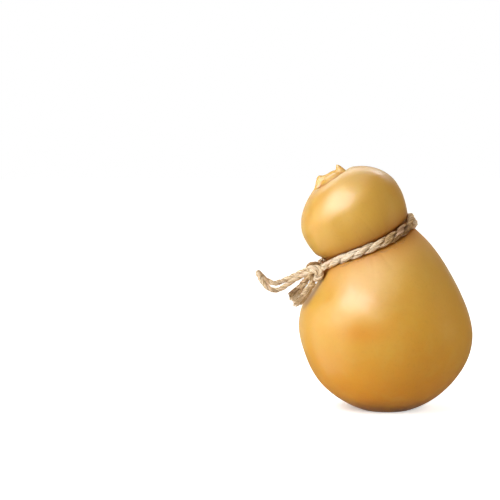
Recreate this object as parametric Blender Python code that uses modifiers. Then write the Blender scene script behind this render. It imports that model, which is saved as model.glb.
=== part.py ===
# Smoked scamorza: a pear-shaped cheese of stretched curd with a ball-shaped head, tied round its
# neck with doubled jute twine, which is knotted at one side and leaves a hanging loop and two cut ends.
# Metres, +Z up. The origin is the centre of the small flat spot that the cheese rests on, and the
# head leans towards -X.

import math

import bmesh
import bpy
import numpy as np
from mathutils import Euler, Vector
from mathutils.geometry import interpolate_bezier

MM = 0.001

# The cheese before it leans: radii and heights along its axis, with the handles of the curves between.
FLAT_RADIUS = 10.2 * MM
FLAT_HANDLE = 18.6 * MM
FLAT_SLOPE = math.radians(17)
BELLY_RADIUS = 38.2 * MM
BELLY_HEIGHT = 34.8 * MM
BELLY_HANDLE = 14.1 * MM
SHOULDER_SLOPE = math.radians(58)
SHOULDER_HANDLE = 12.6 * MM
CREASE_HEIGHT = 75.5 * MM
CREASE_HALF_TURN = math.radians(85)
LIP_SLOPE = math.radians(71)
LIP_HANDLE = 8.1 * MM
HEAD_RADIUS = 23.9 * MM
HEAD_HEIGHT = 91.0 * MM
HEAD_LOWER_HANDLE = 1.8 * MM
HEAD_UPPER_HANDLE = 9.2 * MM
TOP_HEIGHT = 109.7 * MM
TOP_HANDLE = 13.4 * MM
SECTORS = 56
DOME_STEPS = 60
LIP_STEPS = 7
GROOVE_STEPS = 8
SHOULDER_STEPS = 11
BASE_STEPS = 12

# The axis that the cheese leans along: a curve from the flat spot up to the top of the head.
TIP = Vector((-25.1 * MM, 0, 103.9 * MM))
TIP_LEAN = math.radians(32.5)
TIP_HANDLE = 41.5 * MM
ROOT_HANDLE = 56.5 * MM
SWAY_SIZE = 1.1 * MM
SWAY_FROM = 9 * MM
SWAY_TO = 67 * MM
CURVE_SAMPLES = 240

# Unevenness of the hand-shaped curd.
BELLY_LOBE = 0.5 * MM
BELLY_LOBE_REACH = 22 * MM
HEAD_LOBE = 0.3 * MM
HEAD_LOBE_HEIGHT = 95 * MM
HEAD_LOBE_REACH = 9 * MM
PLEATS = 14
PLEAT_DEPTH = 0.35 * MM
PLEAT_REACH = 6 * MM

# The pinched crown where the curd was closed, in a shallow dimple within CROWN_REACH of the axis.
# Each lump: place along and across the fold, half length, half width, height.
CROWN_REACH = 10 * MM
CROWN_FROM = 99 * MM
DIMPLE_RADIUS = 6.9 * MM
DIMPLE_WIDTH = 2.0 * MM
DIMPLE_DEPTH = 1.1 * MM
LUMP_BLUNTNESS = 2.9
CROWN_LUMPS = (
    (-4.9 * MM, 0.4 * MM, 2.3 * MM, 3.0 * MM, 3.1 * MM),
    (5.8 * MM, -0.3 * MM, 1.8 * MM, 2.2 * MM, 3.4 * MM),
    (0.3 * MM, 0.0 * MM, 5.0 * MM, 2.2 * MM, 1.0 * MM),
)

# The twine: a doubled strand laid as two-ply rope round the neck. It lies askew in its crease, with
# its highest side towards SLANT_TURN, and leaves the neck on both sides of the knot to meet in it.
STRAND_RADIUS = 1.0 * MM
TIE_RADIUS = 21.95 * MM
TIE_HALF_LONG = 2.1 * MM
TIE_HALF_SHORT = 1.55 * MM
TIE_GROOVES = 24
TIE_STEPS = 144
TIE_SIDES = 10
SLANT_LIFT = 0.3 * MM
SLANT_SIZE = 1.65 * MM
SLANT_TURN = math.radians(30)
SLANT_REACH = 14 * MM
GROOVE_RADIUS = TIE_HALF_LONG + 0.4 * MM

# The knot, on the side that the head leans to, as its place round the neck and its size.
KNOT_TURN = math.radians(203)
KNOT_DISTANCE = 27.2 * MM
KNOT_DROP = 2.1 * MM
KNOT_CORE = Vector((3.0, 2.8, 3.2)) * MM
KNOT_WRAP_RADIUS = 2.6 * MM
KNOT_WRAP_TURNS = ((70, 0, 35), (20, 60, -20))
KNOT_STUB = 1.6 * MM
STUB_GAP = 0.3 * MM

# The hanging loop, from its exit at the knot, round the bight and back to the knot, in millimetres.
LOOP_ROUTE = (
    (-36.0, -9.6, 62.8),
    (-39.2, -7.7, 61.2),
    (-42.8, -5.8, 59.3),
    (-46.4, -4.2, 57.6),
    (-49.8, -3.0, 56.6),
    (-53.4, -2.6, 57.9),
    (-56.0, -4.3, 60.5),
    (-56.7, -7.7, 61.7),
    (-56.1, -11.2, 60.6),
    (-54.1, -13.3, 57.5),
    (-51.0, -13.0, 54.8),
    (-47.6, -12.3, 54.5),
    (-43.9, -12.0, 56.6),
    (-40.1, -11.7, 59.2),
    (-36.3, -11.3, 61.0),
)
LOOP_STEP = 2.3 * MM
ROUTE_SAMPLES = 25

# The two cut ends of the twine, from the knot to their loosened tips, in millimetres.
END_ROUTES = {
    "twine_end_outer": ((-35.8, -10.5, 58.2), (-37.9, -10.7, 55.6), (-40.2, -10.9, 53.0), (-42.6, -11.0, 50.4)),
    "twine_end_inner": ((-32.3, -11.8, 57.8), (-34.2, -12.6, 54.7), (-36.7, -13.1, 51.4), (-39.4, -13.4, 48.4)),
}
END_TIP_RADIUS = 1.6 * MM

RIND_COLOUR = (0.70, 0.40, 0.11, 1)
TWINE_COLOUR = (0.60, 0.45, 0.30, 1)


def material(name, colour, roughness, specular):
    made = bpy.data.materials.new(name)
    made.use_nodes = True
    shader = made.node_tree.nodes["Principled BSDF"]
    shader.inputs["Base Color"].default_value = colour
    shader.inputs["Roughness"].default_value = roughness
    shader.inputs["Metallic"].default_value = 0
    shader.inputs["Specular IOR Level"].default_value = specular
    return made


def add_object(name, data, look=None):
    made = bpy.data.objects.new(name, data)
    parts.objects.link(made)
    if look:
        data.materials.append(look)
    return made


def move_to(item, collection):
    for home in item.users_collection:
        home.objects.unlink(item)
    collection.objects.link(item)


def as_mesh_object(source, name, look):
    # Replaces an object by the mesh that its modifiers or its bevel make, with loose caps welded.
    graph = bpy.context.evaluated_depsgraph_get()
    mesh = bpy.data.meshes.new_from_object(source.evaluated_get(graph))
    work = bmesh.new()
    work.from_mesh(mesh)
    bmesh.ops.remove_doubles(work, verts=work.verts, dist=0.001 * MM)
    work.to_mesh(mesh)
    work.free()
    matrix = source.matrix_world.copy()
    bpy.data.objects.remove(source)
    mesh.materials.clear()
    made = add_object(name, mesh, look)
    made.matrix_world = matrix
    return made


def bump(value, middle, width):
    return math.exp(-(((value - middle) / width) ** 2))


# The cheese's own axis.

def axis_table():
    handle_up = Vector((0, 0, ROOT_HANDLE))
    handle_back = TIP + TIP_HANDLE * Vector((math.sin(TIP_LEAN), 0, -math.cos(TIP_LEAN)))
    points = np.array(interpolate_bezier(Vector((0, 0, 0)), handle_up, handle_back, TIP, CURVE_SAMPLES))
    steps = np.diff(points, axis=0)
    lengths = np.concatenate(([0], np.cumsum(np.linalg.norm(steps, axis=1))))
    leans = np.arctan2(-steps[:, 0], steps[:, 2])
    middles = (lengths[1:] + lengths[:-1]) / 2
    return lengths, points, middles, leans


AXIS = axis_table()


def slant(point):
    # Sets the neck's crease, and what lies in it, askew.
    angle = math.atan2(point.y, point.x)
    rise = SLANT_LIFT + SLANT_SIZE * math.cos(angle - SLANT_TURN)
    return point + Vector((0, 0, rise * bump(point.z, CREASE_HEIGHT, SLANT_REACH)))


def bend(point):
    # Takes a point of the upright cheese to its place on the leaning one.
    lengths, points, middles, leans = AXIS
    height = point.z
    lean = float(np.interp(height, middles, leans)) if height > 0 else 0
    centre = Vector((float(np.interp(height, lengths, points[:, 0])), 0,
                     float(np.interp(height, lengths, points[:, 2]))))
    over = max(0, height - float(lengths[-1]))
    share = min(1, max(0, (height - SWAY_FROM) / (SWAY_TO - SWAY_FROM)))
    centre.x += SWAY_SIZE * math.sin(2 * math.pi * share) * math.sin(math.pi * share)
    across = Vector((math.cos(lean), 0, math.sin(lean)))
    along = Vector((-math.sin(lean), 0, math.cos(lean)))
    return centre + across * point.x + Vector((0, point.y, 0)) + along * over


# The cheese.

def cheese_profile():
    # Half outline from the top of the head down to the middle of the flat spot, as (radius, height).
    def curve(start, start_handle, end_handle, end, steps):
        return interpolate_bezier(start, start + start_handle, end + end_handle, end, steps + 1)

    flat = Vector((FLAT_RADIUS, 0, 0))
    belly = Vector((BELLY_RADIUS, 0, BELLY_HEIGHT))
    head = Vector((HEAD_RADIUS, 0, HEAD_HEIGHT))
    top = Vector((0, 0, TOP_HEIGHT))
    tie = Vector((TIE_RADIUS, 0, CREASE_HEIGHT))
    groove = []
    for step in range(GROOVE_STEPS + 1):
        turn = math.pi + CREASE_HALF_TURN * (2 * step / GROOVE_STEPS - 1)
        groove.append(tie + GROOVE_RADIUS * Vector((math.cos(turn), 0, math.sin(turn))))
    lip = Vector((math.cos(LIP_SLOPE), 0, math.sin(LIP_SLOPE))) * LIP_HANDLE
    shoulder = Vector((math.cos(SHOULDER_SLOPE), 0, -math.sin(SHOULDER_SLOPE))) * SHOULDER_HANDLE
    rise = Vector((math.cos(FLAT_SLOPE), 0, math.sin(FLAT_SLOPE))) * FLAT_HANDLE
    down = Vector((0, 0, -1))
    dome = curve(top, Vector((TOP_HANDLE, 0, 0)), -down * HEAD_UPPER_HANDLE, head, DOME_STEPS)
    outline = [point for step, point in enumerate(dome) if point.x < CROWN_REACH or step % 5 == 0]
    outline += curve(head, down * HEAD_LOWER_HANDLE, lip, groove[0], LIP_STEPS)[1:]
    outline += groove[1:]
    outline += curve(groove[-1], shoulder, -down * BELLY_HANDLE, belly, SHOULDER_STEPS)[1:]
    outline += curve(belly, down * BELLY_HANDLE, rise, flat, BASE_STEPS)[1:]
    outline.append(Vector((0, 0, 0)))
    return outline


def crown_height(x, y):
    radius = math.hypot(x, y)
    height = -DIMPLE_DEPTH * bump(radius, DIMPLE_RADIUS, DIMPLE_WIDTH)
    for along, across, length, width, size in CROWN_LUMPS:
        far = abs((x - along) / length) ** LUMP_BLUNTNESS + abs((y - across) / width) ** LUMP_BLUNTNESS
        height += size * math.exp(-far)
    return height


def shape_curd(point):
    # Adds the unevenness, the pleats at the crease and the crown, then leans the point over.
    radius = math.hypot(point.x, point.y)
    angle = math.atan2(point.y, point.x)
    height = point.z
    if radius > 0.01 * MM and height > 0:
        change = -BELLY_LOBE * math.sin(3 * angle) * bump(height, BELLY_HEIGHT, BELLY_LOBE_REACH)
        change += HEAD_LOBE * math.sin(2 * angle) * bump(height, HEAD_LOBE_HEIGHT, HEAD_LOBE_REACH)
        beyond = abs(height - CREASE_HEIGHT) - GROOVE_RADIUS
        if beyond > 0:
            fade = math.exp(-beyond / PLEAT_REACH) * (1 - math.exp(-beyond / MM))
            change -= PLEAT_DEPTH * fade * (1 + math.cos(PLEATS * angle))
        scale = (radius + change) / radius
        point = Vector((point.x * scale, point.y * scale, height))
    if height > CROWN_FROM:
        point = point + Vector((0, 0, crown_height(point.x, point.y)))
    return bend(slant(point))


def make_cheese():
    outline = cheese_profile()
    mesh = bpy.data.meshes.new("half_outline")
    edges = [(index, index + 1) for index in range(len(outline) - 1)]
    mesh.from_pydata(outline, edges, [])
    upright = add_object("upright", mesh)
    turn = upright.modifiers.new("turn", "SCREW")
    turn.axis = "Z"
    turn.steps = SECTORS
    turn.render_steps = SECTORS
    turn.use_merge_vertices = True
    turn.merge_threshold = 0.01 * MM
    cheese = as_mesh_object(upright, "cheese", rind)
    for vertex in cheese.data.vertices:
        vertex.co = shape_curd(vertex.co.copy())
    cheese.data.shade_smooth()
    return cheese


# The twine.

def smooth_route(points, step):
    # Evenly spaced points on a smooth curve through the route's points.
    knots = [Vector(point) * MM for point in points]
    ends = [2 * knots[0] - knots[1]] + knots + [2 * knots[-1] - knots[-2]]
    dense = []
    for before, start, end, after in zip(ends, ends[1:], ends[2:], ends[3:]):
        piece = interpolate_bezier(start, start + (end - before) / 6, end - (after - start) / 6, end, ROUTE_SAMPLES)
        dense += piece if not dense else piece[1:]
    line = np.array(dense)
    lengths = np.concatenate(([0], np.cumsum(np.linalg.norm(np.diff(line, axis=0), axis=1))))
    count = max(2, round(lengths[-1] / step) + 1)
    places = np.linspace(0, lengths[-1], count)
    return [Vector([float(np.interp(place, lengths, line[:, axis])) for axis in range(3)])
            for place in places]


def add_tube(name, points, look, radius=STRAND_RADIUS, tip_radius=None):
    data = bpy.data.curves.new(name, "CURVE")
    data.dimensions = "3D"
    data.bevel_depth = radius
    data.bevel_resolution = 2
    data.use_fill_caps = True
    spline = data.splines.new("POLY")
    spline.points.add(len(points) - 1)
    for index, (target, point) in enumerate(zip(spline.points, points)):
        target.co = (*point, 1)
        if tip_radius:
            share = index / (len(points) - 1)
            target.radius = 1 + (tip_radius / radius - 1) * share
    return add_object(name, data, look)


def tie_route(angle):
    # The rope's radius and height at an angle round the upright neck: a circle in the crease, with
    # a straight run on each side of the knot, which is where the two runs meet.
    from_knot = abs(math.remainder(angle - KNOT_TURN, 2 * math.pi))
    spread = math.acos(TIE_RADIUS / KNOT_DISTANCE)
    radius = TIE_RADIUS / math.cos(max(0, spread - from_knot))
    drop = KNOT_DROP * (radius - TIE_RADIUS) / (KNOT_DISTANCE - TIE_RADIUS)
    return radius, CREASE_HEIGHT - drop


def make_tie_ring():
    # A torus round the neck, pressed into two strands that wind round each other.
    bpy.ops.mesh.primitive_torus_add(
        major_segments=TIE_STEPS, minor_segments=TIE_SIDES,
        major_radius=TIE_RADIUS, minor_radius=TIE_HALF_LONG)
    ring = bpy.context.object
    move_to(ring, parts)
    ring.data.materials.append(jute)
    middle = (TIE_HALF_LONG + TIE_HALF_SHORT) / 2
    swing = (TIE_HALF_LONG - TIE_HALF_SHORT) / 2
    for vertex in ring.data.vertices:
        angle = math.atan2(vertex.co.y, vertex.co.x)
        outward = Vector((math.cos(angle), math.sin(angle), 0))
        offset = vertex.co - TIE_RADIUS * outward
        turn = math.atan2(offset.z, offset.dot(outward))
        size = middle + swing * math.cos(2 * turn - TIE_GROOVES * angle)
        radius, height = tie_route(angle)
        placed = (radius + size * math.cos(turn)) * outward
        placed.z = height + size * math.sin(turn)
        vertex.co = bend(slant(placed))
    return ring


def knot_centre():
    upright = Vector((KNOT_DISTANCE * math.cos(KNOT_TURN), KNOT_DISTANCE * math.sin(KNOT_TURN), 0))
    upright.z = CREASE_HEIGHT - KNOT_DROP
    return bend(slant(upright))


def make_knot_pieces(centre):
    bpy.ops.mesh.primitive_uv_sphere_add(segments=16, ring_count=10, radius=1, location=centre)
    core = bpy.context.object
    core.scale = KNOT_CORE
    pieces = [core]
    for turns in KNOT_WRAP_TURNS:
        rotation = Euler([math.radians(value) for value in turns])
        bpy.ops.mesh.primitive_torus_add(
            major_segments=20, minor_segments=8, location=centre, rotation=rotation,
            major_radius=KNOT_WRAP_RADIUS, minor_radius=STRAND_RADIUS)
        pieces.append(bpy.context.object)
    return pieces


def make_stub(centre, start, following):
    # The short stretch of strand between the middle of the knot and the free strand that goes on.
    outward = (start - following).normalized()
    near = start + outward * STUB_GAP
    inner = near + outward * KNOT_STUB
    tube = add_tube("stub", [centre.lerp(inner, 0.4), inner, near], None)
    return as_mesh_object(tube, "stub", None)


def make_tie(routes):
    ring = make_tie_ring()
    centre = knot_centre()
    pieces = make_knot_pieces(centre)
    for points in routes:
        pieces.append(make_stub(centre, points[0], points[1]))
    for piece in pieces:
        move_to(piece, cutters)
        piece.hide_render = True
        piece.display_type = "WIRE"
    union = ring.modifiers.new("knot", "BOOLEAN")
    union.operation = "UNION"
    union.solver = "EXACT"
    union.operand_type = "COLLECTION"
    union.collection = cutters
    tie = as_mesh_object(ring, "twine_tie", jute)
    for piece in pieces:
        bpy.data.objects.remove(piece)
    tie.data.shade_smooth()
    return tie


for old in list(bpy.data.objects):
    bpy.data.objects.remove(old)
parts = bpy.data.collections.new("smoked_scamorza")
cutters = bpy.data.collections.new("knot_pieces")
bpy.context.scene.collection.children.link(parts)
bpy.context.scene.collection.children.link(cutters)

rind = material("rind", RIND_COLOUR, 0.42, 0.5)
jute = material("jute", TWINE_COLOUR, 0.9, 0.2)

make_cheese()
loop_points = smooth_route(LOOP_ROUTE, LOOP_STEP)
add_tube("twine_loop", loop_points, jute)
end_points = {name: smooth_route(route, LOOP_STEP) for name, route in END_ROUTES.items()}
for name, points in end_points.items():
    add_tube(name, points, jute, tip_radius=END_TIP_RADIUS)
make_tie([loop_points, loop_points[::-1]] + list(end_points.values()))
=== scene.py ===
# The looks of a smoked scamorza: the rind of the stretched curd, the jute twine round its neck,
# the knot, the hanging loop and the two frayed ends. Metres, +Z up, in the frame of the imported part.

import math
import random

import bmesh
import bpy
import numpy as np
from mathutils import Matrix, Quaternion, Vector, noise
from mathutils.geometry import interpolate_bezier


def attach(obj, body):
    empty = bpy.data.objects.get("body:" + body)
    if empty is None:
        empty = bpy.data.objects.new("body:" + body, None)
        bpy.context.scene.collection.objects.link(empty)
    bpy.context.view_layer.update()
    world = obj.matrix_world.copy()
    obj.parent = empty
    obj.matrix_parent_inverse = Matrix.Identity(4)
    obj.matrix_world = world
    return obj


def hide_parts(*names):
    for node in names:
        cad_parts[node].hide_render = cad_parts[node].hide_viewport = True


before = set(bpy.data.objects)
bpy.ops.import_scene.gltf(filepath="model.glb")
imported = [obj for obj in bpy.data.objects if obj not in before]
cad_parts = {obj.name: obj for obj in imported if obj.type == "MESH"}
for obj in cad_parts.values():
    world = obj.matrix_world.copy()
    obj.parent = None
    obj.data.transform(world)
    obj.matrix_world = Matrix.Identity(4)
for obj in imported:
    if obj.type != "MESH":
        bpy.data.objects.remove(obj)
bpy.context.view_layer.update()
mm = 0.001
fullTurn = 2 * math.pi

scene = bpy.context.scene
scene.view_settings.view_transform = "Standard"


# Camera: where the photo was taken from, aimed so that the cheese stands where it does in the photo.

camera = {
    "pivot": Vector((0, 0, 55 * mm)),
    "distance": 900 * mm,
    "elevation": math.radians(5),
    "roll": math.radians(-0.28),
    "pixel": 0.4461 * mm,          # size of a photo pixel at the pivot
    "photoPixels": 500,
    "pivotPixel": (386.7, 286.2),
    "sensor": 36,
    "clip": (0.05, 50),
}


def makeCamera():
    data = bpy.data.cameras.new("photoCamera")
    data.sensor_width = camera["sensor"]
    data.lens = camera["sensor"] * camera["distance"] / (camera["pixel"] * camera["photoPixels"])
    data.clip_start, data.clip_end = camera["clip"]
    item = bpy.data.objects.new("photoCamera", data)
    scene.collection.objects.link(item)
    tilt = camera["elevation"]
    ahead = Vector((0, math.cos(tilt), -math.sin(tilt)))
    upward = Vector((0, math.sin(tilt), math.cos(tilt)))
    centre = camera["photoPixels"] / 2
    right = (centre - camera["pivotPixel"][0]) * camera["pixel"]
    above = (camera["pivotPixel"][1] - centre) * camera["pixel"]
    target = camera["pivot"] + Vector((right, 0, 0)) + above * upward
    item.location = camera["pivot"] - camera["distance"] * ahead
    item.rotation_mode = "QUATERNION"
    level = (target - item.location).to_track_quat("-Z", "Y")
    item.rotation_quaternion = level @ Quaternion((0, 0, 1), camera["roll"])
    scene.camera = item


makeCamera()
print("camera placed")


# Node helpers. Inputs go by label or number, and each is a value or the socket that feeds it.

def setInputs(node, inputs):
    for label, value in inputs.items():
        if isinstance(value, bpy.types.NodeSocket):
            node.id_data.links.new(value, node.inputs[label])
        else:
            node.inputs[label].default_value = value


def newMaterial(name, inputs):
    made = bpy.data.materials.new(name)
    made.use_nodes = True
    shader = made.node_tree.nodes["Principled BSDF"]
    setInputs(shader, inputs)
    return made, made.node_tree, shader


def addNode(tree, kind, inputs, **settings):
    node = tree.nodes.new(kind)
    for label, value in settings.items():
        setattr(node, label, value)
    setInputs(node, inputs)
    return node


def addNoise(tree, vector, scale, detail=3, roughness=0.5, distortion=0):
    return addNode(tree, "ShaderNodeTexNoise", {
        "Vector": vector, "Scale": scale, "Detail": detail, "Roughness": roughness,
        "Distortion": distortion}).outputs["Fac"]


def addRamp(tree, factor, stops):
    # Each stop is a place and a grey or a colour.
    node = addNode(tree, "ShaderNodeValToRGB", {"Fac": factor})
    ramp = node.color_ramp
    while len(ramp.elements) < len(stops):
        ramp.elements.new(0.5)
    for element, (place, value) in zip(ramp.elements, stops):
        element.position = place
        element.color = (*value, 1) if isinstance(value, tuple) else (value, value, value, 1)
    return node.outputs["Color"]


def addMix(tree, factor, first, second, blend="MIX"):
    first, second = [(*value, 1) if isinstance(value, tuple) else value for value in (first, second)]
    return addNode(tree, "ShaderNodeMix", {0: factor, 6: first, 7: second},
                   data_type="RGBA", blend_type=blend).outputs[2]


def addMath(tree, operation, first, second):
    return addNode(tree, "ShaderNodeMath", {0: first, 1: second}, operation=operation).outputs[0]


def addBump(tree, height, strength, distance, below=None):
    node = addNode(tree, "ShaderNodeBump", {
        "Height": height, "Strength": strength, "Distance": distance})
    if below:
        setInputs(node, {"Normal": below})
    return node.outputs["Normal"]


def addFade(tree, value, start, end, low=0, high=1, interpolation="SMOOTHSTEP"):
    # Goes from low to high as the value goes from start to end.
    return addNode(tree, "ShaderNodeMapRange", {
        "Value": value, "From Min": start, "From Max": end, "To Min": low, "To Max": high},
        interpolation_type=interpolation).outputs["Result"]


def readAttribute(tree, name, output="Fac"):
    return addNode(tree, "ShaderNodeAttribute", {}, attribute_name=name).outputs[output]


# Rind: satin, waxy and a little translucent, mottled by the smoke, darker and redder at the neck with
# painted shade, and with a painted orange glow just below the twine.

rind = {
    "upper": (0.64, 0.372, 0.055),
    "middle": (0.66, 0.352, 0.034),
    "lower": (0.67, 0.286, 0.018),
    # The base colour is painted shade at the foot, where the cheese stands on the table.
    "base": (0.38, 0.135, 0.008),
    "upperFade": (38 * mm, 70 * mm),       # the heights where one colour gives way to the next
    "lowerFade": (38 * mm, 4 * mm),
    "footShadeFade": (9 * mm, 0.5 * mm),
    "amber": (0.66, 0.285, 0.016),
    "amberScale": 34,
    "amberStops": ((0.54, 0.0), (0.74, 0.45)),
    "pale": (0.66, 0.415, 0.075),
    "paleScale": 110,
    "paleStops": ((0.50, 0.0), (0.80, 0.35)),
    # painted shade for the neck's crease and the trough round the crown's fold
    "crease": (0.40, 0.155, 0.018),
    "grainScale": 900,
    "grainStops": ((0.30, 0.95), (0.46, 1.0)),
    "grainBump": (0.22, 0.08 * mm),        # strength and height
    "softScale": 260,
    "softBump": (0.25, 0.25 * mm),
    "sheenScale": 160,
    "sheenFade": (0.3, 0.7),
    "roughness": (0.31, 0.42),     # where the sheen is strongest and weakest
    "dull": 0.38,                  # and how much more below the twine
    "shader": {
        "Specular IOR Level": 0.5,
        "Subsurface Weight": 0.35,
        "Subsurface Radius": (1.0, 0.45, 0.15),
        "Subsurface Scale": 4.0 * mm,
        "Coat Weight": 0.09,
        "Coat Roughness": 0.22,
    },
}


def makeRind():
    made, tree, shader = newMaterial("rind", rind["shader"])
    place = tree.nodes.new("ShaderNodeTexCoord").outputs["Object"]
    broad = addNoise(tree, place, rind["amberScale"], detail=2, roughness=0.55)
    cloudy = addNoise(tree, place, rind["paleScale"], detail=4, roughness=0.6, distortion=0.6)
    fine = addNoise(tree, place, rind["grainScale"], detail=3, roughness=0.6)
    # The colour deepens lower down, and the darkest band at the bottom is painted shade at the foot.
    height = addNode(tree, "ShaderNodeSeparateXYZ", {0: place}).outputs["Z"]
    high = addFade(tree, height, *rind["upperFade"])
    low = addFade(tree, height, *rind["lowerFade"])
    footShade = addFade(tree, height, *rind["footShadeFade"])
    colour = addMix(tree, high, rind["middle"], rind["upper"])
    colour = addMix(tree, low, colour, rind["lower"])
    colour = addMix(tree, footShade, colour, rind["base"])
    colour = addMix(tree, addRamp(tree, broad, rind["amberStops"]), colour, rind["amber"])
    colour = addMix(tree, addRamp(tree, cloudy, rind["paleStops"]), colour, rind["pale"])
    # The blush attribute holds the rind's orange blushes, and just below the twine a painted glow of
    # light.
    colour = addMix(tree, readAttribute(tree, "blush"), colour, rind["amber"])
    # The crease attribute is painted shade in the neck's crease and in the trough round the crown's
    # fold.
    colour = addMix(tree, readAttribute(tree, "crease"), colour, rind["crease"])
    colour = addMix(tree, 1.0, colour, addRamp(tree, fine, rind["grainStops"]), "MULTIPLY")
    sheen = addNoise(tree, place, rind["sheenScale"], detail=3)
    rough = addFade(tree, sheen, *rind["sheenFade"], *rind["roughness"], "LINEAR")
    duller = addMath(tree, "MULTIPLY", readAttribute(tree, "dull"), rind["dull"])
    rough = addMath(tree, "ADD", rough, duller)
    soft = addBump(tree, addNoise(tree, place, rind["softScale"], detail=2), *rind["softBump"])
    grain = addBump(tree, fine, *rind["grainBump"], soft)
    setInputs(shader, {"Base Color": colour, "Roughness": rough, "Normal": grain})
    return made


# Jute: pale straw and brown fibres that run with the twist of the strand.

jute = {
    "cream": (0.96, 0.85, 0.66),
    "straw": (0.83, 0.63, 0.38),
    "tan": (0.52, 0.33, 0.13),
    "brown": (0.18, 0.086, 0.025),
    "shades": ((0.30, "brown"), (0.41, "tan"), (0.53, "straw"), (0.66, "cream")),
    "streakScale": 3.4,
    "streakBump": (0.6, 0.15 * mm),        # strength and height
    "hairScale": 10.88,
    "hairStops": ((0.30, 0.55), (0.45, 0.0)),
    "hairBump": (0.5, 0.06 * mm),
    "blush": (0.80, 0.54, 0.38),
    "blushScale": 0.8,
    "blushStops": ((0.50, 0.0), (0.70, 0.6)),
    "shader": {
        "Roughness": 0.82,
        "Specular IOR Level": 0.25,
        "Sheen Weight": 0.04,
        "Sheen Roughness": 0.5,
    },
}


def makeJute():
    made, tree, shader = newMaterial("jute", jute["shader"])
    fibre = readAttribute(tree, "fibre", "Vector")
    streak = addNoise(tree, fibre, jute["streakScale"], detail=5, roughness=0.7)
    hair = addNoise(tree, fibre, jute["hairScale"], detail=4, roughness=0.75)
    tint = addNoise(tree, fibre, jute["blushScale"], detail=2)
    # The tone makes strands darker and lighter; on the knot and round the neck it is mostly painted
    # light and shade.
    shade = addMath(tree, "SUBTRACT", streak, readAttribute(tree, "tone"))
    colour = addRamp(tree, shade, [(place, jute[name]) for place, name in jute["shades"]])
    colour = addMix(tree, addRamp(tree, tint, jute["blushStops"]), colour, jute["blush"])
    colour = addMix(tree, addRamp(tree, hair, jute["hairStops"]), colour, jute["brown"])
    # The hollow shade is painted shade in the notches between the plies, in the fibres' furrows and on
    # the knot's core.
    colour = addMix(tree, readAttribute(tree, "hollowShade"), colour, jute["brown"])
    ridge = addBump(tree, streak, *jute["streakBump"])
    strand = addBump(tree, hair, *jute["hairBump"], ridge)
    setInputs(shader, {"Base Color": colour, "Normal": strand})
    return made


looks = {"rind": makeRind(), "jute": makeJute()}
print("materials made")


def addPiece(name, work, slot, *nodes):
    # Turns a closed bmesh into a finished piece that rides on the part and stands for its CAD nodes.
    bmesh.ops.recalc_face_normals(work, faces=work.faces)
    mesh = bpy.data.meshes.new(name)
    work.to_mesh(mesh)
    work.free()
    mesh.materials.append(looks[slot])
    mesh.shade_smooth()
    piece = bpy.data.objects.new(name, mesh)
    scene.collection.objects.link(piece)
    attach(piece, "root")
    if nodes:
        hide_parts(*nodes)
    return piece


# The cheese's form: an upright turned shape, made uneven and then leaned over. The sizes are the CAD's.

curd = {
    "flatRadius": 10.2 * mm,
    "flatHandle": 18.6 * mm,
    "flatSlope": math.radians(17),
    "bellyRadius": 38.2 * mm,
    "bellyHeight": 34.8 * mm,
    "bellyHandle": 14.1 * mm,
    "shoulderSlope": math.radians(58),
    "shoulderHandle": 12.6 * mm,
    "creaseHeight": 75.5 * mm,
    "creaseHalfTurn": math.radians(85),
    "grooveRadius": 2.5 * mm,
    "lipSlope": math.radians(71),
    "lipHandle": 8.1 * mm,
    "headRadius": 23.9 * mm,
    "headHeight": 91.0 * mm,
    "headLowerHandle": 1.8 * mm,
    "headUpperHandle": 9.2 * mm,
    "topHeight": 109.7 * mm,
    "topHandle": 13.4 * mm,
    "ropeRadius": 21.95 * mm,      # the twine's middle, from the axis
    "steps": {"dome": 96, "lip": 18, "groove": 16, "shoulder": 44, "base": 46},
    "sectors": 240,
    "weld": 0.001 * mm,            # points nearer than this are one
}

lean = {
    "tip": Vector((-25.1 * mm, 0, 103.9 * mm)),
    "tipLean": math.radians(32.5),
    "tipHandle": 41.5 * mm,
    "rootHandle": 56.5 * mm,
    "swaySize": 1.1 * mm,
    "swayFrom": 9 * mm,
    "swayTo": 67 * mm,
    "slantLift": 0.3 * mm,         # the neck's crease lies askew
    "slantSize": 1.65 * mm,
    "slantTurn": math.radians(30),
    "slantReach": 14 * mm,
    "dip": 1.4 * mm,               # and is lowest at the front, at the right
    "dipTurn": math.radians(-60),
    "dipWidth": math.radians(52),
    "samples": 240,
}


def bell(value, middle, width):
    return np.exp(-(((value - middle) / width) ** 2))


def turnFrom(angle, middle, whole=fullTurn):
    # The shortest way round from middle to angle.
    return (angle - middle + whole / 2) % whole - whole / 2


def lengthsAlong(points):
    return np.concatenate(([0], np.cumsum(np.linalg.norm(np.diff(points, axis=0), axis=1))))


def stretch(point, scale):
    return Vector([side * size for side, size in zip(point, scale)])


def axisTable():
    tipDown = Vector((math.sin(lean["tipLean"]), 0, -math.cos(lean["tipLean"])))
    points = np.array(interpolate_bezier(
        Vector((0, 0, 0)), Vector((0, 0, lean["rootHandle"])),
        lean["tip"] + lean["tipHandle"] * tipDown, lean["tip"], lean["samples"]))
    steps = np.diff(points, axis=0)
    lengths = lengthsAlong(points)
    middles = (lengths[1:] + lengths[:-1]) / 2
    return lengths, points, middles, np.arctan2(-steps[:, 0], steps[:, 2])


axis = axisTable()


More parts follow.
